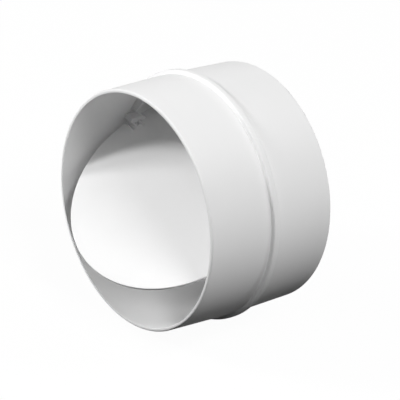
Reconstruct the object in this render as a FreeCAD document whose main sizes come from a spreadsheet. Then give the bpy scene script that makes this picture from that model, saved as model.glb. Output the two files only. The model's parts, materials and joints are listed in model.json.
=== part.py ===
import FreeCAD, Part
import math
import os

import Sketcher

# A round duct connector: a tube with a locating bead round its middle and a tapered spigot
# on each side, and a round back-draught flap that swings on two stub pins inside the tube.
# The tube lies along Y with its front opening at -Y, the hinge runs along X and +Z is up.
# The origin is on the tube's axis in the middle plane of the bead.

# Driving dimensions in millimetres, and degrees where the name says angle
SIZES = {
    # Tube
    "front_length": 30.5,
    "rear_length": 29.5,
    "spigot_radius": 49.25,
    "spigot_taper": 0.6,
    "rim_wall": 1.35,
    "land_length": 6.0,
    "bead_width": 3.5,
    "bead_height": 1.6,
    "rim_round": 0.4,
    # Flap
    "hinge_height": 11.67,
    "hinge_setback": 0.9,
    "open_angle": 52.8,
    "flap_gap": 1.3,
    "flap_drop": 0.74,
    "flap_thickness": 1.2,
    "flap_edge_round": 0.4,
    # Bearing ears on the tube wall
    "ear_reach": 5.0,
    "boss_radius": 1.6,
    "ear_front": 4.0,
    "ear_top": 2.2,
    "ear_underside": 0.2,
    "bearing_floor": 0.6,
    # Pins on the flap, and the notch that leaves room for each ear
    "pin_radius": 0.9,
    "pin_clearance": 0.1,
    "pin_end_gap": 0.5,
    "pin_root": 2.0,
    "notch_gap": 0.8,
    "notch_rise": 1.1,
    "notch_end_gap": 1.5,
    "tongue_width": 1.35,
    "slit_width": 0.7,
    # Stop rib over the top of the bore
    "rib_height": 3.1,
    "rib_thickness": 1.5,
    "rib_gap": 0.3,
    "rib_rise": 4.8,
}

FULL_TURN = 360

# Formulas that several features share
END_RADIUS = "(sizes.spigot_radius - sizes.spigot_taper)"
BORE_RADIUS = f"({END_RADIUS} - sizes.rim_wall)"
BEAD_SIDE = "sizes.bead_width / 2"
LAND_END = "sizes.bead_width / 2 + sizes.land_length"
FRONT_RIM = "-sizes.front_length"
REAR_RIM = "sizes.rear_length"
BEAD_ROUND = "(sizes.bead_width ^ 2 / 4 + sizes.bead_height ^ 2) / (2 * sizes.bead_height)"
WALL_MIDDLE = f"({BORE_RADIUS} + sizes.rim_wall / 2)"
WALL_AT_HINGE = f"sqrt({BORE_RADIUS} ^ 2 - sizes.hinge_height ^ 2)"
EAR_ROOT = f"sqrt({WALL_MIDDLE} ^ 2 - sizes.hinge_height ^ 2)"
EAR_FACE = f"{WALL_AT_HINGE} - sizes.ear_reach"
BEARING_END = f"{WALL_AT_HINGE} - sizes.bearing_floor"
FLAP_RADIUS = f"{BORE_RADIUS} - sizes.flap_gap"
NOTCH_END = f"{EAR_FACE} - sizes.notch_end_gap"
NOTCH_TOP = "sizes.ear_top + sizes.notch_rise"
NOTCH_FOOT = "-(sizes.boss_radius + sizes.notch_gap)"
RIB_FOOT = "sizes.hinge_height + sizes.rib_rise"
RIB_RADIUS = f"{BORE_RADIUS} - sizes.rib_height"


def make_sheet(doc):
    """Put the driving dimensions into a spreadsheet, one alias to a row."""
    sheet = doc.addObject("Spreadsheet::Sheet", "sizes")
    for row, (name, size) in enumerate(SIZES.items(), 1):
        sheet.set(f"A{row}", name)
        sheet.set(f"B{row}", str(size))
        sheet.setAlias(f"B{row}", name)
    doc.recompute()
    return sheet


def origin_plane(body, role):
    """Return the body's own origin plane with the given role."""
    return next(feature for feature in body.Origin.OriginFeatures if feature.Role == role)


def new_sketch(body, name, role, offset="0", across="0", raised="0"):
    """Start a sketch on an origin plane, moved by offset along its normal, and across and up it."""
    sketch = body.newObject("Sketcher::SketchObject", name)
    sketch.AttachmentSupport = [(origin_plane(body, role), "")]
    sketch.MapMode = "FlatFace"
    sketch.setExpression("AttachmentOffset.Base.x", across)
    sketch.setExpression("AttachmentOffset.Base.y", raised)
    sketch.setExpression("AttachmentOffset.Base.z", offset)
    return sketch


def bind(sketch, constraint, formula):
    """Add a dimension to a sketch and tie it to a formula."""
    index = sketch.addConstraint(constraint)
    sketch.setExpression(f"Constraints[{index}]", formula)


def join(sketch, first, first_end, second, second_end):
    """Make two points of a sketch coincide."""
    sketch.addConstraint(Sketcher.Constraint("Coincident", first, first_end, second, second_end))


def place_point(sketch, curve, end, across, along):
    """Dimension one end of a curve from the sketch's origin."""
    across_now = sketch.evalExpression(across)
    along_now = sketch.evalExpression(along)
    bind(sketch, Sketcher.Constraint("DistanceX", -1, 1, curve, end, across_now), across)
    bind(sketch, Sketcher.Constraint("DistanceY", -1, 1, curve, end, along_now), along)


def add_outline(sketch, corners, bulges=None):
    """Close an outline through corners, given as pairs of formulas.

    bulges maps a corner's index to the point that the arc to the next corner passes through
    and the formula of that arc's radius. Such an arc runs anticlockwise.
    """
    bulges = bulges or {}
    points = [FreeCAD.Vector(sketch.evalExpression(across), sketch.evalExpression(along), 0)
              for across, along in corners]
    curves = []
    for index, start in enumerate(points):
        end = points[(index + 1) % len(points)]
        if index in bulges:
            (across, along), radius = bulges[index]
            middle = FreeCAD.Vector(sketch.evalExpression(across), sketch.evalExpression(along), 0)
            curve = sketch.addGeometry(Part.Arc(start, middle, end))
            bind(sketch, Sketcher.Constraint("Radius", curve, sketch.evalExpression(radius)), radius)
        else:
            curve = sketch.addGeometry(Part.LineSegment(start, end))
        curves.append(curve)
    for index, curve in enumerate(curves):
        join(sketch, curves[index - 1], 2, curve, 1)
        place_point(sketch, curve, 1, *corners[index])


def add_circle(sketch, radius, along=None):
    """Draw a circle on the sketch's origin, or centred on its upright axis at along."""
    centre = FreeCAD.Vector(0, sketch.evalExpression(along) if along else 0, 0)
    radius_now = sketch.evalExpression(radius)
    circle = sketch.addGeometry(Part.Circle(centre, FreeCAD.Vector(0, 0, 1), radius_now))
    bind(sketch, Sketcher.Constraint("Radius", circle, radius_now), radius)
    if along:
        sketch.addConstraint(Sketcher.Constraint("PointOnObject", circle, 3, -2))
        bind(sketch, Sketcher.Constraint("DistanceY", -1, 1, circle, 3, centre.y), along)
    else:
        join(sketch, circle, 3, -1, 1)


def add_pad(body, name, sketch, length):
    """Extrude a sketch along its normal."""
    pad = body.newObject("PartDesign::Pad", name)
    pad.Profile = sketch
    pad.setExpression("Length", length)
    body.Document.recompute()
    return pad


def add_pocket(body, name, sketch, length):
    """Cut a sketch along its normal, and make sure that the cut took something away."""
    before = body.Shape.Volume
    pocket = body.newObject("PartDesign::Pocket", name)
    pocket.Profile = sketch
    pocket.Reversed = True
    pocket.setExpression("Length", length)
    body.Document.recompute()
    if not body.Shape.Volume < before:
        raise RuntimeError(f"{name} cuts nothing")
    return pocket


def add_fillet(body, name, base, wanted, radius):
    """Round the circular edges of the base that wanted picks by their circle."""
    edges = [f"Edge{number}" for number, edge in enumerate(base.Shape.Edges, 1)
             if isinstance(edge.Curve, Part.Circle) and wanted(edge.Curve)]
    fillet = body.newObject("PartDesign::Fillet", name)
    fillet.Base = (base, edges)
    fillet.setExpression("Radius", radius)
    body.Document.recompute()
    return fillet


def add_mirror(body, name, features):
    """Repeat features on the other side of the tube's upright middle plane."""
    mirror = body.newObject("PartDesign::Mirrored", name)
    mirror.Originals = features
    mirror.MirrorPlane = (origin_plane(body, "YZ_Plane"), [""])
    body.Tip = mirror
    body.Document.recompute()
    return mirror


def make_tube(body):
    """Revolve the wall with its bead and tapered spigots, and round the rims."""
    sketch = new_sketch(body, "tube_section", "XY_Plane")
    corners = [
        (BORE_RADIUS, FRONT_RIM),
        (END_RADIUS, FRONT_RIM),
        ("sizes.spigot_radius", f"-({LAND_END})"),
        ("sizes.spigot_radius", f"-({BEAD_SIDE})"),
        ("sizes.spigot_radius", BEAD_SIDE),
        ("sizes.spigot_radius", LAND_END),
        (END_RADIUS, REAR_RIM),
        (BORE_RADIUS, REAR_RIM),
    ]
    bead_side = 3
    bead_crest = ("sizes.spigot_radius + sizes.bead_height", "0")
    add_outline(sketch, corners, {bead_side: (bead_crest, BEAD_ROUND)})
    tube = body.newObject("PartDesign::Revolution", "tube_wall")
    tube.Profile = sketch
    tube.ReferenceAxis = (sketch, ["V_Axis"])
    tube.Angle = FULL_TURN
    body.Document.recompute()
    rims = [sketch.evalExpression(place) for place in (FRONT_RIM, REAR_RIM)]
    add_fillet(body, "rim_edges", tube,
               lambda circle: any(math.isclose(circle.Center.y, rim) for rim in rims),
               "sizes.rim_round")


def make_stop_rib(body):
    """Add the rib over the top of the bore, just in front of the closed flap."""
    rear_face = "sizes.flap_thickness / 2 + sizes.rib_gap - sizes.hinge_setback"
    sketch = new_sketch(body, "rib_section", "XZ_Plane", offset=rear_face)
    foot = sketch.evalExpression(RIB_FOOT)
    arcs = []
    for radius in (RIB_RADIUS, WALL_MIDDLE):
        radius_now = sketch.evalExpression(radius)
        lean = math.asin(foot / radius_now)
        circle = Part.Circle(FreeCAD.Vector(), FreeCAD.Vector(0, 0, 1), radius_now)
        arc = sketch.addGeometry(Part.ArcOfCircle(circle, lean, math.pi - lean))
        join(sketch, arc, 3, -1, 1)
        bind(sketch, Sketcher.Constraint("Radius", arc, radius_now), radius)
        for end in (1, 2):
            bind(sketch, Sketcher.Constraint("DistanceY", -1, 1, arc, end, foot), RIB_FOOT)
        arcs.append((arc, sketch.Geometry[arc]))
    (inner, inner_arc), (outer, outer_arc) = arcs
    right = sketch.addGeometry(Part.LineSegment(inner_arc.StartPoint, outer_arc.StartPoint))
    left = sketch.addGeometry(Part.LineSegment(outer_arc.EndPoint, inner_arc.EndPoint))
    join(sketch, right, 1, inner, 1)
    join(sketch, right, 2, outer, 1)
    join(sketch, left, 1, outer, 2)
    join(sketch, left, 2, inner, 2)
    add_pad(body, "stop_rib", sketch, "sizes.rib_thickness")


def make_ears(body):
    """Add the bearing ear that holds a flap pin, and its twin on the other side."""
    place = {"offset": EAR_FACE, "across": "sizes.hinge_setback", "raised": "sizes.hinge_height"}
    section = new_sketch(body, "ear_section", "YZ_Plane", **place)
    corners = [
        ("-sizes.ear_front", "sizes.ear_underside"),
        ("-sqrt(sizes.boss_radius ^ 2 - sizes.ear_underside ^ 2)", "sizes.ear_underside"),
        ("sizes.boss_radius", "0"),
        ("sizes.boss_radius", "sizes.ear_top"),
        ("-sizes.ear_front", "sizes.ear_top"),
    ]
    boss_start = 1
    boss_foot = ("0", "-sizes.boss_radius")
    add_outline(section, corners, {boss_start: (boss_foot, "sizes.boss_radius")})
    ear = add_pad(body, "bearing_ear", section, f"{EAR_ROOT} - ({EAR_FACE})")
    mouth = new_sketch(body, "bearing_mouth", "YZ_Plane", **place)
    add_circle(mouth, "sizes.pin_radius + sizes.pin_clearance")
    bearing = add_pocket(body, "pin_bearing", mouth, f"{BEARING_END} - ({EAR_FACE})")
    add_mirror(body, "ear_pair", [ear, bearing])


def make_connector_body(doc):
    """Build the moulded tube with its rib and bearing ears."""
    body = doc.addObject("PartDesign::Body", "connector_body")
    make_tube(body)
    make_stop_rib(body)
    make_ears(body)
    return body


def make_flap(doc):
    """Build the flap about its hinge line, and turn it to its open pose."""
    body = doc.addObject("PartDesign::Body", "flap")
    rear_face = "-sizes.flap_thickness / 2"
    disc_sketch = new_sketch(body, "disc_section", "XZ_Plane", offset=rear_face)
    add_circle(disc_sketch, FLAP_RADIUS, along="-(sizes.hinge_height + sizes.flap_drop)")
    disc = add_pad(body, "disc", disc_sketch, "sizes.flap_thickness")
    add_fillet(body, "disc_edges", disc, lambda circle: True, "sizes.flap_edge_round")

    tongue_foot = f"{NOTCH_FOOT} - sizes.tongue_width"
    slit_foot = f"{tongue_foot} - sizes.slit_width"
    cuts = []
    for name, low, high in (("notch", NOTCH_FOOT, NOTCH_TOP), ("slit", slit_foot, tongue_foot)):
        sketch = new_sketch(body, f"{name}_section", "XZ_Plane", offset=rear_face)
        corners = [(NOTCH_END, low), (FLAP_RADIUS, low), (FLAP_RADIUS, high), (NOTCH_END, high)]
        add_outline(sketch, corners)
        cuts.append(add_pocket(body, name, sketch, "sizes.flap_thickness"))

    pin_start = f"{NOTCH_END} - sizes.pin_root"
    pin_tip = f"{BEARING_END} - sizes.pin_end_gap"
    pin_sketch = new_sketch(body, "pin_section", "YZ_Plane", offset=pin_start)
    add_circle(pin_sketch, "sizes.pin_radius")
    pin = add_pad(body, "stub_pin", pin_sketch, f"{pin_tip} - ({pin_start})")
    add_mirror(body, "hinge_pair", cuts + [pin])

    hinge_axis = FreeCAD.Vector(1, 0, 0)
    open_angle = body.evalExpression("sizes.open_angle")
    body.Placement = FreeCAD.Placement(FreeCAD.Vector(), FreeCAD.Rotation(hinge_axis, -open_angle))
    body.setExpression("Placement.Base.y", "sizes.hinge_setback")
    body.setExpression("Placement.Base.z", "sizes.hinge_height")
    body.setExpression("Placement.Rotation.Angle", "-sizes.open_angle * 1 deg")
    return body


def check(doc, bodies):
    """Stop if any object failed, or if a sub-part isn't one valid solid."""
    for item in doc.Objects:
        if "Invalid" in item.State or "Error" in item.State:
            raise RuntimeError(f"{item.Name} failed: {item.State}")
    for body in bodies:
        if body.Shape.isNull() or not body.Shape.isValid() or len(body.Shape.Solids) != 1:
            raise RuntimeError(f"{body.Label} isn't one valid solid")


def main():
    doc = FreeCAD.newDocument("duct_connector")
    make_sheet(doc)
    bodies = [make_connector_body(doc), make_flap(doc)]
    doc.recompute()
    check(doc, bodies)
    os.makedirs("parts", exist_ok=True)
    for body in bodies:
        body.Shape.exportStep(f"parts/{body.Label}.step")
        box = body.Shape.BoundBox
        print(body.Label, f"{body.Shape.Volume:.1f} mm3", box)


main()
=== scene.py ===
import contextlib
import json
import math

import bmesh
import bpy
from mathutils import Matrix, Vector


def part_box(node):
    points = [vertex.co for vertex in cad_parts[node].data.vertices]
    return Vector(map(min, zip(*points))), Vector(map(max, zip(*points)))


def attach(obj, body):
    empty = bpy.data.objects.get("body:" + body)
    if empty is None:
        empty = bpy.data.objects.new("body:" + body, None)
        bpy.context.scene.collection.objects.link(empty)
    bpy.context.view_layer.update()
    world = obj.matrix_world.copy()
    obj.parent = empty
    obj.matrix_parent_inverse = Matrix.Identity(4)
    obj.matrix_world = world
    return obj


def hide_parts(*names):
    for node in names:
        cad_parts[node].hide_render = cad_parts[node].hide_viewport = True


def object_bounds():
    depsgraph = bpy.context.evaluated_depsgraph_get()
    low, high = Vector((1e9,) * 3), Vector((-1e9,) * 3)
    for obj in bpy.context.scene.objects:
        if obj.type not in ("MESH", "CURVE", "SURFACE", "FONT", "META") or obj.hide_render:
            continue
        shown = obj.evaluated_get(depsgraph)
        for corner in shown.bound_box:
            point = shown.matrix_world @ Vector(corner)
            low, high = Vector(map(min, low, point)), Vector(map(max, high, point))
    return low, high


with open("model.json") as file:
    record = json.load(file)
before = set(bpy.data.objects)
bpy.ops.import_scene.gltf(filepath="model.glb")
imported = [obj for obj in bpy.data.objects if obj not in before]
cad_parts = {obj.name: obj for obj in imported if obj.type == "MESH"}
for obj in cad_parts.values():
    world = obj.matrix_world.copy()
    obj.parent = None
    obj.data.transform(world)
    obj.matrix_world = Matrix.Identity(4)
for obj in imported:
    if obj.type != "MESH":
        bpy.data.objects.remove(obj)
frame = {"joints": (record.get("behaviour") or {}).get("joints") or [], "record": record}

bl_info = {
    "name": "Duct connector with back-draught flap",
    "version": (1, 0, 0),
    "blender": (4, 5, 0),
    "location": "3D View > Sidebar > Duct connector",
    "description": "Models a round plastic duct connector with a swinging flap, in a plain studio",
    "category": "Add Mesh",
}

MM = 0.001
FULL_TURN = 2 * math.pi
HALF_TURN = math.pi
QUARTER_TURN = math.pi / 2
WHITE = (1.0, 1.0, 1.0, 1.0)
PLASTIC = "moulded_white_plastic"

# How near two points are when they count as one place, and when they are merged
SAME_PLACE = 0.001 * MM
MERGE_DISTANCE = 0.0005 * MM

# A face looks along an axis if its normal has more than the first share of that axis, and runs
# beside the axis if its normal has less than the second
FACING = 0.9
BESIDE = 1e-4

# Angles between faces: up to the first they are one flat face, and from the second an edge is sharp
FLAT_ANGLE = math.radians(1)
SHARP_ANGLE = math.radians(30)

# How many flats make up a rounding
LARGE_ROUND = 6
MEDIUM_ROUND = 4
SMALL_ROUND = 3
TINY_ROUND = 2

# A cut through the flap: how many times the flap's thickness it is deep, and how far it runs
# past the flap's edge
CUT_DEPTH = 4
CUT_OVERRUN = 2.0 * MM

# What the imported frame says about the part
CAD_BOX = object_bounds()
BODY_LOW, BODY_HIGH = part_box("connector_body")
FLAP_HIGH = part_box("flap")[1]
MOUNTS = {mount["name"]: mount for mount in frame["record"]["mounts"]}
SPIGOT = MOUNTS["front_spigot"]["dims"]
FLAP_SWING = next(joint for joint in frame["joints"] if joint["name"] == "flap_swing")
HINGE = Vector(FLAP_SWING["pos_m"])
REST_OPENING = -FLAP_SWING["range_deg"][0]

# Studio lamps: the side and the height in degrees that each shines from, its width in metres
# and its power in watts
LAMPS = {
    "right_lamp": {"azimuth": 84.8, "elevation": 51.4, "width": 0.63, "power": 12.3},
    "left_lamp": {"azimuth": -27.5, "elevation": 30.0, "width": 0.29, "power": 10.4},
    "rear_lamp": {"azimuth": 145.1, "elevation": 42.0, "width": 0.25, "power": 5.45},
    "low_lamp": {"azimuth": -50.5, "elevation": 10.9, "width": 0.4, "power": 9.6},
    "top_lamp": {"azimuth": 37.0, "elevation": 51.1, "width": 1.02, "power": 4.0},
}


def length(name, description, default):
    """Describe a length in metres."""
    return bpy.props.FloatProperty(name=name, description=description, default=default,
                                   min=0.0, precision=5, unit="LENGTH")


def angle(name, description, degrees):
    """Describe an angle, given in degrees."""
    return bpy.props.FloatProperty(name=name, description=description,
                                   default=math.radians(degrees), subtype="ANGLE")


def number(name, description, default):
    """Describe a plain number."""
    return bpy.props.FloatProperty(name=name, description=description, default=default, precision=4)


def count(name, description, default):
    """Describe a number of faces."""
    return bpy.props.IntProperty(name=name, description=description, default=default)


def colour(name, description, default):
    """Describe a colour."""
    return bpy.props.FloatVectorProperty(name=name, description=description, default=default,
                                         size=3, min=0.0, max=1.0, subtype="COLOR")


class TubeSizes(bpy.types.PropertyGroup):
    """Sizes of the tube, its bead and the stop rib in its bore."""

    front_length: length("Front length", "From the bead's middle to the front rim", -BODY_LOW.y)
    rear_length: length("Rear length", "From the bead's middle to the rear rim", BODY_HIGH.y)
    spigot_radius: length("Spigot radius", "Outside of the parallel land beside the bead",
                          SPIGOT["r_mm"] * MM)
    land_length: length("Land length", "Length of each parallel land", SPIGOT["length_mm"] * MM)
    crest_radius: length("Bead radius", "Outside of the bead's crest", BODY_HIGH.x)
    spigot_taper: length("Spigot taper", "Fall of a spigot's radius towards its rim", 0.6 * MM)
    rim_wall: length("Rim wall", "Wall thickness at the rims", 1.35 * MM)
    rim_round: length("Rim rounding", "Rounding of the rims' outer edges", 0.8 * MM)
    rim_break: length("Rim edge break", "Rounding of the rims' inner edges", 0.12 * MM)
    bead_width: length("Bead width", "Width of the bead at its foot", 3.5 * MM)
    bead_blend: length("Bead blend", "Rounding where the bead meets the lands", 0.3 * MM)
    bead_lean: length("Bead lean", "How far each flank of the bead leans in", 0.45 * MM)
    bead_shoulder: length("Bead shoulder", "Rounding of the bead's shoulders", 0.6 * MM)
    rib_height: length("Rib height", "How far the stop rib stands into the bore", 3.1 * MM)
    rib_thickness: length("Rib thickness", "Thickness of the stop rib along the tube", 1.5 * MM)
    rib_gap: length("Rib gap", "Gap between the stop rib and the closed flap", 0.3 * MM)
    rib_rise: length("Rib rise", "Height of the stop rib's ends above the hinge", 4.8 * MM)
    turn_steps: count("Steps round", "Faces round the tube and the flap", 288)


class FlapSizes(bpy.types.PropertyGroup):
    """Sizes of the flap and of the hinge that carries it."""

    flap_radius: length("Flap radius", "Outside of the disc", FLAP_HIGH.x)
    flap_thickness: length("Flap thickness", "Thickness of the disc", 1.2 * MM)
    edge_round: length("Edge rounding", "Rounding of the disc's edges", 0.4 * MM)
    hinge_height: length("Hinge height", "Height of the hinge above the tube's axis", HINGE.z)
    hinge_setback: length("Hinge setback", "From the bead's middle back to the hinge", HINGE.y)
    flap_drop: length("Flap drop", "From the tube's axis down to the closed disc's centre", 0.74 * MM)
    open_angle: angle("Open angle", "How far the flap stands open at rest", REST_OPENING)
    ear_reach: length("Ear reach", "How far a bearing ear stands in from the bore", 5.0 * MM)
    ear_front: length("Ear front", "How far an ear runs in front of the hinge", 4.0 * MM)
    ear_top: length("Ear top", "Height of an ear's top above the hinge", 2.2 * MM)
    ear_underside: length("Ear underside", "Height of an ear's underside above the hinge", 0.2 * MM)
    ear_round: length("Ear rounding", "Rounding of an ear's inner end", 0.25 * MM)
    ear_corner: length("Ear corner", "Rounding of an ear's upper rear edge", 0.6 * MM)
    boss_radius: length("Boss radius", "Outside of an ear round its bearing", 1.6 * MM)
    boss_steps: count("Boss steps", "Faces round an ear's boss", 64)
    bearing_floor: length("Bearing floor", "What is left behind a bearing", 0.6 * MM)
    bearing_steps: count("Bearing steps", "Faces round a bearing", 48)
    pin_radius: length("Pin radius", "Radius of a stub pin", 0.9 * MM)
    pin_clearance: length("Pin clearance", "Gap round a pin in its bearing", 0.1 * MM)
    pin_end_gap: length("Pin end gap", "Gap between a pin's end and its bearing's floor", 0.5 * MM)
    pin_root: length("Pin root", "How far a pin runs into the disc", 2.0 * MM)
    pin_steps: count("Pin steps", "Faces round a stub pin", 32)
    notch_gap: length("Notch gap", "Gap between an ear's boss and the foot of its notch", 0.8 * MM)
    notch_rise: length("Notch rise", "Height of a notch's top above its ear's top", 1.1 * MM)
    notch_end_gap: length("Notch end gap", "Gap between an ear and the end of its notch", 1.5 * MM)
    tongue_width: length("Tongue width", "Width of the tongue between notch and slit", 1.35 * MM)
    slit_width: length("Slit width", "Width of the slit below the tongue", 0.7 * MM)


class PlasticLook(bpy.types.PropertyGroup):
    """Finish of the white moulded plastic."""

    light_tone: colour("Light tone", "Lightest colour of the plastic", (0.855, 0.855, 0.855))
    dark_tone: colour("Dark tone", "Darkest colour of its faint clouding", (0.825, 0.825, 0.825))
    cloud_scale: number("Cloud scale", "Clouds per metre in the colour", 60.0)
    cloud_detail: number("Cloud detail", "Layers of finer clouds in the colour", 4.0)
    roughness_low: number("Least roughness", "Roughness where the mould was polished", 0.55)
    roughness_high: number("Most roughness", "Roughness where the mould was dull", 0.65)
    grain_scale: number("Grain scale", "Grains per metre of the moulded skin", 2600.0)
    grain_detail: number("Grain detail", "Layers of finer grain in the moulded skin", 2.0)
    grain_depth: length("Grain depth", "Depth of the moulded skin's grain", 0.002 * MM)
    gloss: number("Gloss", "Specular level of the plastic", 0.04)


class StageLook(bpy.types.PropertyGroup):
    """Camera, floor and lights."""

    azimuth: angle("Azimuth", "Camera's turn round the part from straight ahead", 47.018)
    elevation: angle("Elevation", "Camera's height above the horizon", 30.073)
    roll: angle("Roll", "Camera's turn about its own line of sight", 9.793)
    distance: length("Distance", "From the tube's centre to the camera", 1135.02 * MM)
    across: number("Across", "Camera's move to its right, in metres", 2.142 * MM)
    lift: number("Lift", "Camera's move upwards, in metres", -2.057 * MM)
    lens: number("Lens", "Focal length in millimetres", 256.763)
    floor_span: length("Floor span", "Length of the floor's sides", 8.0)
    floor_tone: number("Floor tone", "How much of the lamps' light the floor sends back up", 0.02)
    shadow_share: number("Shadow share", "Share of the floor's white that a shadow dims", 0.035)
    lamp_distance: length("Lamp distance", "From the tube's centre to each lamp", 1.5)


def pick(piece):
    """Select one piece alone and make it active."""
    bpy.ops.object.select_all(action="DESELECT")
    piece.select_set(True)
    bpy.context.view_layer.objects.active = piece


def settle(piece):
    """Put a piece's place, turn and size into its mesh."""
    pick(piece)
    bpy.ops.object.transform_apply(location=True, rotation=True, scale=True)


@contextlib.contextmanager
def editing(piece):
    """Open one piece in edit mode with nothing else selected, and close it again."""
    pick(piece)
    bpy.ops.object.mode_set(mode="EDIT")
    yield
    bpy.ops.object.mode_set(mode="OBJECT")


def start_piece(add, name, scale=(1, 1, 1), **settings):
    """Add a primitive with its place, turn and size in its mesh."""
    add(**settings)
    piece = bpy.context.active_object
    piece.name = name
    piece.data.name = name
    piece.scale = scale
    settle(piece)
    return piece


def select_where(piece, wanted):
    """In edit mode, select the vertices whose place wanted accepts."""
    bpy.ops.mesh.select_mode(type="VERT")
    bpy.ops.mesh.select_all(action="DESELECT")
    mesh = bmesh.from_edit_mesh(piece.data)
    for vertex in mesh.verts:
        vertex.select_set(wanted(vertex.co))
    mesh.select_flush(True)
    bmesh.update_edit_mesh(piece.data)


def select_faces(piece, wanted):
    """In edit mode, select the faces that wanted accepts."""
    bpy.ops.mesh.select_mode(type="FACE")
    bpy.ops.mesh.select_all(action="DESELECT")
    mesh = bmesh.from_edit_mesh(piece.data)
    for face in mesh.faces:
        face.select_set(wanted(face))
    bmesh.update_edit_mesh(piece.data)


def near(value, target):
    """Say whether two lengths are the same place on the model."""
    return abs(value - target) < SAME_PLACE


def round_corners(piece, wanted, radius, flats):
    """In edit mode, round a section's corners at the places that wanted accepts."""
    select_where(piece, wanted)
    bpy.ops.mesh.bevel(offset=radius, segments=flats, affect="VERTICES")


def close_shape():
    """In edit mode, merge doubles and turn all the faces outwards."""
    bpy.ops.mesh.select_all(action="SELECT")
    bpy.ops.mesh.remove_doubles(threshold=MERGE_DISTANCE)
    bpy.ops.mesh.normals_make_consistent(inside=False)


def combine(piece, tool, operation):
    """Join a tool shape to a piece or cut it away, and delete the tool."""
    pick(piece)
    modifier = piece.modifiers.new(operation.lower(), "BOOLEAN")
    modifier.operation = operation
    modifier.solver = "MANIFOLD"
    modifier.object = tool
    bpy.ops.object.modifier_apply(modifier=modifier.name)
    bpy.data.meshes.remove(tool.data)


def smooth(piece):
    """Shade a piece smooth, apart from its sharp edges, with its flat faces kept flat."""
    pick(piece)
    bpy.ops.object.shade_smooth_by_angle(angle=SHARP_ANGLE)
    modifier = piece.modifiers.new("flat_faces", "WEIGHTED_NORMAL")
    modifier.keep_sharp = True
    bpy.ops.object.modifier_apply(modifier=modifier.name)


def bore_radius(tube):
    """Radius of the tube's bore."""
    return tube.spigot_radius - tube.spigot_taper - tube.rim_wall


def half_chord(radius, height):
    """Distance from the upright middle plane to a circle round the tube's axis, at a height."""
    return math.sqrt(radius ** 2 - height ** 2)


def ear_end(tube, flap):
    """Distance from the upright middle plane to the inner end of an ear."""
    return half_chord(bore_radius(tube), flap.hinge_height) - flap.ear_reach


def hinge_rod(name, flap, start, end, radius, faces):
    """Add a round rod along the hinge line, from one place across the tube to another."""
    return start_piece(bpy.ops.mesh.primitive_cylinder_add, name, vertices=faces,
                       radius=radius, depth=abs(end - start),
                       location=((start + end) / 2, flap.hinge_setback, flap.hinge_height),
                       rotation=(0, QUARTER_TURN, 0))


def turn_wall(tube):
    """Draw the wall's section and spin it: lands, bead, tapered spigots and rounded rims."""
    bore = bore_radius(tube)
    wall = tube.spigot_radius - bore
    rim_middle = bore + tube.rim_wall / 2
    front = -tube.front_length
    rear = tube.rear_length
    bead_side = tube.bead_width / 2
    bead_height = tube.crest_radius - tube.spigot_radius
    crest_share = (bead_side - tube.bead_lean) / bead_side
    land_end = bead_side + tube.land_length

    def on_rim(place):
        """Say whether a place is on one of the rims."""
        return near(place.y, front) or near(place.y, rear)

    def at_bead_foot(place):
        """Say whether a place is where the bead meets a land."""
        return near(place.x, tube.spigot_radius) and near(abs(place.y), bead_side)

    piece = start_piece(bpy.ops.mesh.primitive_plane_add, "connector_moulding", size=1.0,
                        location=(bore + wall / 2, (front + rear) / 2, 0),
                        scale=(wall, rear - front, 1))
    with editing(piece):
        bpy.ops.mesh.delete(type="ONLY_FACE")
        for cut in (-land_end, -bead_side, bead_side, land_end):
            bpy.ops.mesh.select_all(action="SELECT")
            bpy.ops.mesh.bisect(plane_co=(0, cut, 0), plane_no=(0, 1, 0))
        select_where(piece, lambda place: place.x > rim_middle and on_rim(place))
        bpy.ops.transform.translate(value=(-tube.spigot_taper, 0, 0))
        select_where(piece, at_bead_foot)
        bpy.ops.mesh.extrude_region_move(TRANSFORM_OT_translate={"value": (bead_height, 0, 0)})
        bpy.ops.transform.resize(value=(1, crest_share, 1), center_override=(0, 0, 0))
        select_where(piece, at_bead_foot)
        bpy.ops.mesh.delete(type="EDGE_FACE")
        round_corners(piece, lambda place: near(place.x, tube.crest_radius),
                      tube.bead_shoulder, LARGE_ROUND)
        round_corners(piece, lambda place: near(place.x, bore) and on_rim(place),
                      tube.rim_break, TINY_ROUND)
        round_corners(piece, lambda place: place.x > rim_middle and on_rim(place),
                      tube.rim_round, LARGE_ROUND)
        round_corners(piece, at_bead_foot, tube.bead_blend, MEDIUM_ROUND)
        bpy.ops.mesh.select_all(action="SELECT")
        bpy.ops.mesh.spin(steps=tube.turn_steps, angle=FULL_TURN, center=(0, 0, 0), axis=(0, 1, 0))
        close_shape()
    return piece


def spin_rib(tube, flap):
    """Spin the stop rib over the top of the bore and cut its ends level."""
    bore = bore_radius(tube)
    inner = bore - tube.rib_height
    outer = bore + tube.rim_wall / 2
    rear = flap.hinge_setback - flap.flap_thickness / 2 - tube.rib_gap
    foot = flap.hinge_height + tube.rib_rise
    piece = start_piece(bpy.ops.mesh.primitive_plane_add, "stop_rib", size=1.0,
                        location=((inner + outer) / 2, rear - tube.rib_thickness / 2, 0),
                        scale=(outer - inner, tube.rib_thickness, 1))
    with editing(piece):
        bpy.ops.mesh.delete(type="ONLY_FACE")
        bpy.ops.mesh.select_all(action="SELECT")
        bpy.ops.mesh.spin(steps=tube.turn_steps // 2, angle=HALF_TURN,
                          center=(0, 0, 0), axis=(0, 1, 0))
        close_shape()
        bpy.ops.mesh.select_all(action="SELECT")
        bpy.ops.mesh.bisect(plane_co=(0, 0, foot), plane_no=(0, 0, 1),
                            clear_inner=True, use_fill=True)
        close_shape()
    return piece


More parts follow.
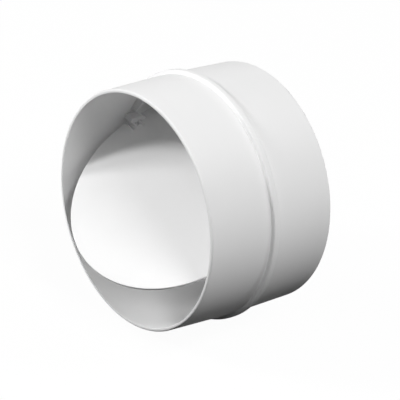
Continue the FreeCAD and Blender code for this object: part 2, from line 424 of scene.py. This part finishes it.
def make_ear(tube, flap, side):
    """Model a bearing ear: a boss round the hinge line, drawn up to a flat top, then forwards."""
    inner_end = ear_end(tube, flap)
    root = half_chord(bore_radius(tube) + tube.rim_wall / 2, flap.hinge_height)
    bearing_depth = flap.ear_reach - flap.bearing_floor
    underside = flap.hinge_height + flap.ear_underside
    top = flap.hinge_height + flap.ear_top
    front = flap.hinge_setback - flap.ear_front

    def above(face):
        """Say whether a face is above the ear's underside."""
        return face.calc_center_median().z > underside

    ear = hinge_rod("bearing_ear", flap, side * inner_end, side * root,
                    flap.boss_radius, flap.boss_steps)
    with editing(ear):
        bpy.ops.mesh.select_all(action="SELECT")
        bpy.ops.mesh.bisect(plane_co=(0, 0, underside), plane_no=(0, 0, 1))
        select_faces(ear, lambda face: abs(face.normal.x) < BESIDE and above(face))
        bpy.ops.mesh.extrude_region()
        bpy.ops.transform.resize(value=(1, 1, 0), center_override=(0, 0, top))
        close_shape()
        bpy.ops.mesh.dissolve_limited(angle_limit=FLAT_ANGLE)
        select_faces(ear, lambda face: face.normal.y < -FACING and above(face))
        bpy.ops.mesh.extrude_region()
        bpy.ops.transform.resize(value=(1, 0, 1), center_override=(0, front, 0))
        close_shape()
        bpy.ops.mesh.dissolve_limited(angle_limit=FLAT_ANGLE)
        select_where(ear, lambda place: near(place.z, top) and place.y > flap.hinge_setback)
        bpy.ops.mesh.bevel(offset=flap.ear_corner, segments=MEDIUM_ROUND, affect="EDGES")
        select_faces(ear, lambda face: face.normal.x * side < -FACING)
        bpy.ops.mesh.bevel(offset=flap.ear_round, segments=SMALL_ROUND, affect="EDGES")
    bearing = hinge_rod("bearing", flap,
                        side * (inner_end - bearing_depth), side * (inner_end + bearing_depth),
                        flap.pin_radius + flap.pin_clearance, flap.bearing_steps)
    combine(ear, bearing, "DIFFERENCE")
    return ear


def make_connector(tube, flap):
    """Model the whole moulding of the tube."""
    piece = turn_wall(tube)
    combine(piece, spin_rib(tube, flap), "UNION")
    for side in (-1, 1):
        combine(piece, make_ear(tube, flap, side), "UNION")
    smooth(piece)
    return piece


def make_disc(tube, flap):
    """Model the flap's plain disc in its closed place, with rounded edges."""
    piece = start_piece(bpy.ops.mesh.primitive_cylinder_add, "flap_moulding",
                        vertices=tube.turn_steps, radius=flap.flap_radius,
                        depth=flap.flap_thickness,
                        location=(0, flap.hinge_setback, -flap.flap_drop),
                        rotation=(QUARTER_TURN, 0, 0))
    with editing(piece):
        bpy.ops.mesh.select_all(action="DESELECT")
        bpy.ops.mesh.select_mode(type="EDGE")
        bpy.ops.mesh.edges_select_sharp(sharpness=QUARTER_TURN / 2)
        bpy.ops.mesh.bevel(offset=flap.edge_round, segments=MEDIUM_ROUND, affect="EDGES")
    return piece


def make_flap(tube, flap):
    """Model the flap in its closed place, then swing it open about the hinge."""
    piece = make_disc(tube, flap)
    inner_end = ear_end(tube, flap)
    notch_end = inner_end - flap.notch_end_gap
    notch_low = -(flap.boss_radius + flap.notch_gap)
    notch_high = flap.ear_top + flap.notch_rise
    slit_high = notch_low - flap.tongue_width
    slit_low = slit_high - flap.slit_width
    pin_start = notch_end - flap.pin_root
    pin_tip = inner_end + flap.ear_reach - flap.bearing_floor - flap.pin_end_gap
    span = flap.flap_radius - notch_end + CUT_OVERRUN
    for side in (-1, 1):
        for low, high in ((notch_low, notch_high), (slit_low, slit_high)):
            cut = start_piece(bpy.ops.mesh.primitive_cube_add, "cut", size=1.0,
                              location=(side * (notch_end + span / 2), flap.hinge_setback,
                                        flap.hinge_height + (low + high) / 2),
                              scale=(span, CUT_DEPTH * flap.flap_thickness, high - low))
            combine(piece, cut, "DIFFERENCE")
        pin = hinge_rod("pin", flap, side * pin_start, side * pin_tip,
                        flap.pin_radius, flap.pin_steps)
        combine(piece, pin, "UNION")

    hinge = Matrix.Translation((0, flap.hinge_setback, flap.hinge_height))
    swing = Matrix.Rotation(-flap.open_angle, 4, "X")
    piece.matrix_world = hinge @ swing @ hinge.inverted()
    settle(piece)
    smooth(piece)
    return piece


def add_noise(nodes, links, scale, detail):
    """Add a noise that is fixed to the piece, and give its values."""
    place = nodes.new("ShaderNodeTexCoord")
    noise = nodes.new("ShaderNodeTexNoise")
    noise.inputs["Scale"].default_value = scale
    noise.inputs["Detail"].default_value = detail
    links.new(place.outputs["Object"], noise.inputs["Vector"])
    return noise.outputs["Fac"]


def white_plastic(look):
    """Make the satin white plastic: faint clouding, uneven gloss and a fine moulded grain."""
    material = bpy.data.materials.new(PLASTIC)
    material.use_nodes = True
    nodes = material.node_tree.nodes
    links = material.node_tree.links
    shader = nodes["Principled BSDF"]
    shader.inputs["Specular IOR Level"].default_value = look.gloss

    clouds = add_noise(nodes, links, look.cloud_scale, look.cloud_detail)
    tone = nodes.new("ShaderNodeMix")
    tone.data_type = "RGBA"
    tone.inputs["A"].default_value = (*look.dark_tone, 1.0)
    tone.inputs["B"].default_value = (*look.light_tone, 1.0)
    links.new(clouds, tone.inputs["Factor"])
    links.new(tone.outputs["Result"], shader.inputs["Base Color"])

    roughness = nodes.new("ShaderNodeMapRange")
    roughness.inputs["To Min"].default_value = look.roughness_low
    roughness.inputs["To Max"].default_value = look.roughness_high
    links.new(clouds, roughness.inputs["Value"])
    links.new(roughness.outputs["Result"], shader.inputs["Roughness"])

    grain = add_noise(nodes, links, look.grain_scale, look.grain_detail)
    skin = nodes.new("ShaderNodeBump")
    skin.inputs["Distance"].default_value = look.grain_depth
    links.new(grain, skin.inputs["Height"])
    links.new(skin.outputs["Normal"], shader.inputs["Normal"])
    return material


def finish_piece(piece, body, node, look):
    """Give a piece its plastic and hang it on its body in place of the plain solid."""
    material = bpy.data.materials.get(PLASTIC) or white_plastic(look)
    piece.data.materials.clear()
    piece.data.materials.append(material)
    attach(piece, body)
    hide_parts(node)


def direction(azimuth, elevation):
    """Point from the part to a side, turned from straight ahead and raised above the horizon."""
    return Vector((math.sin(azimuth) * math.cos(elevation),
                   -math.cos(azimuth) * math.cos(elevation),
                   math.sin(elevation)))


def add_camera(stage):
    """Set the camera where the part is seen from."""
    data = bpy.data.cameras.new("camera")
    data.lens = stage.lens
    camera = bpy.data.objects.new("camera", data)
    back = direction(stage.azimuth, stage.elevation)
    level = Vector((math.cos(stage.azimuth), math.sin(stage.azimuth), 0))
    right = Matrix.Rotation(stage.roll, 3, back) @ level
    up = back.cross(right)
    turn = Matrix((right, up, back)).transposed().to_4x4()
    place = right * stage.across + up * stage.lift + back * stage.distance
    camera.matrix_world = Matrix.Translation(place) @ turn
    bpy.context.collection.objects.link(camera)
    bpy.context.scene.camera = camera


def add_lamp(name, place, width, power):
    """Hang a soft round lamp that faces the tube's centre."""
    data = bpy.data.lights.new(name, "AREA")
    data.shape = "DISK"
    data.size = width
    data.energy = power
    lamp = bpy.data.objects.new(name, data)
    lamp.location = place
    lamp.rotation_euler = (-place).to_track_quat("-Z", "Y").to_euler()
    bpy.context.collection.objects.link(lamp)


def seen_directly(nodes, links):
    """Make a factor of 1 for rays that show a surface: straight, mirrored or through glass."""
    path = nodes.new("ShaderNodeLightPath")
    factor = path.outputs["Is Camera Ray"]
    for kind in ("Is Glossy Ray", "Is Transmission Ray"):
        either = nodes.new("ShaderNodeMath")
        either.operation = "MAXIMUM"
        links.new(factor, either.inputs[0])
        links.new(path.outputs[kind], either.inputs[1])
        factor = either.outputs["Value"]
    return factor


def white_floor(stage):
    """Make a floor that looks white with a faint shadow, and sends little light back up."""
    material = bpy.data.materials.new("white_floor")
    material.use_nodes = True
    nodes = material.node_tree.nodes
    links = material.node_tree.links
    tone = stage.floor_tone
    bounce = nodes["Principled BSDF"]
    bounce.inputs["Base Color"].default_value = (tone, tone, tone, 1.0)
    bounce.inputs["Specular IOR Level"].default_value = 0.0
    glow = nodes.new("ShaderNodeEmission")
    shaded = nodes.new("ShaderNodeBsdfDiffuse")
    shaded.inputs["Color"].default_value = WHITE
    shown = nodes.new("ShaderNodeMixShader")
    shown.inputs["Fac"].default_value = stage.shadow_share
    links.new(glow.outputs["Emission"], shown.inputs[1])
    links.new(shaded.outputs["BSDF"], shown.inputs[2])
    mixed = nodes.new("ShaderNodeMixShader")
    links.new(seen_directly(nodes, links), mixed.inputs["Fac"])
    links.new(bounce.outputs["BSDF"], mixed.inputs[1])
    links.new(shown.outputs["Shader"], mixed.inputs[2])
    links.new(mixed.outputs["Shader"], nodes["Material Output"].inputs["Surface"])
    return material


def add_floor(stage):
    """Lay the white floor under the part."""
    floor = start_piece(bpy.ops.mesh.primitive_plane_add, "floor", size=stage.floor_span,
                        location=(0, 0, CAD_BOX[0].z))
    floor.data.materials.append(white_floor(stage))


def add_world():
    """Make the room white to look at, and leave the lighting to the lamps."""
    world = bpy.data.worlds.new("room")
    world.use_nodes = True
    nodes = world.node_tree.nodes
    links = world.node_tree.links
    room = nodes["Background"]
    room.inputs["Color"].default_value = WHITE
    links.new(seen_directly(nodes, links), room.inputs["Strength"])
    bpy.context.scene.world = world


class DUCT_OT_connector_body(bpy.types.Operator):
    """Model the tube with its bead, stop rib and bearing ears"""

    bl_idname = "duct.connector_body"
    bl_label = "Connector body"

    def execute(self, context):
        scene = context.scene
        piece = make_connector(scene.duct_tube, scene.duct_flap)
        finish_piece(piece, "connector_body", "connector_body", scene.duct_plastic)
        return {"FINISHED"}


class DUCT_OT_flap(bpy.types.Operator):
    """Model the flap with its notches, slits and stub pins"""

    bl_idname = "duct.flap"
    bl_label = "Flap"

    def execute(self, context):
        scene = context.scene
        piece = make_flap(scene.duct_tube, scene.duct_flap)
        finish_piece(piece, "flap", "flap", scene.duct_plastic)
        return {"FINISHED"}


class DUCT_OT_stage(bpy.types.Operator):
    """Set up the floor, the lights and the camera"""

    bl_idname = "duct.stage"
    bl_label = "Stage"

    def execute(self, context):
        stage = context.scene.duct_stage
        add_floor(stage)
        add_world()
        for name, lamp in LAMPS.items():
            side = direction(math.radians(lamp["azimuth"]), math.radians(lamp["elevation"]))
            add_lamp(name, side * stage.lamp_distance, lamp["width"], lamp["power"])
        add_camera(stage)
        context.scene.view_settings.view_transform = "Standard"
        return {"FINISHED"}


class DUCT_PT_panel(bpy.types.Panel):
    """Lists the pieces of the duct connector"""

    bl_idname = "DUCT_PT_panel"
    bl_label = "Duct connector"
    bl_space_type = "VIEW_3D"
    bl_region_type = "UI"
    bl_category = "Duct connector"

    def draw(self, context):
        for operator in OPERATORS:
            self.layout.operator(operator.bl_idname)


GROUPS = {
    "duct_tube": TubeSizes,
    "duct_flap": FlapSizes,
    "duct_plastic": PlasticLook,
    "duct_stage": StageLook,
}
OPERATORS = (DUCT_OT_connector_body, DUCT_OT_flap, DUCT_OT_stage)


def register():
    """Register the settings, the operators and the panel."""
    for name, group in GROUPS.items():
        bpy.utils.register_class(group)
        setattr(bpy.types.Scene, name, bpy.props.PointerProperty(type=group))
    for item in (*OPERATORS, DUCT_PT_panel):
        bpy.utils.register_class(item)


def unregister():
    """Undo what register did, in reverse order."""
    for item in (DUCT_PT_panel, *reversed(OPERATORS)):
        bpy.utils.unregister_class(item)
    for name, group in reversed(GROUPS.items()):
        delattr(bpy.types.Scene, name)
        bpy.utils.unregister_class(group)


def main():
    """Build the part and its stage."""
    register()
    bpy.ops.duct.connector_body()
    bpy.ops.duct.flap()
    bpy.ops.duct.stage()


if __name__ == "__main__":
    main()
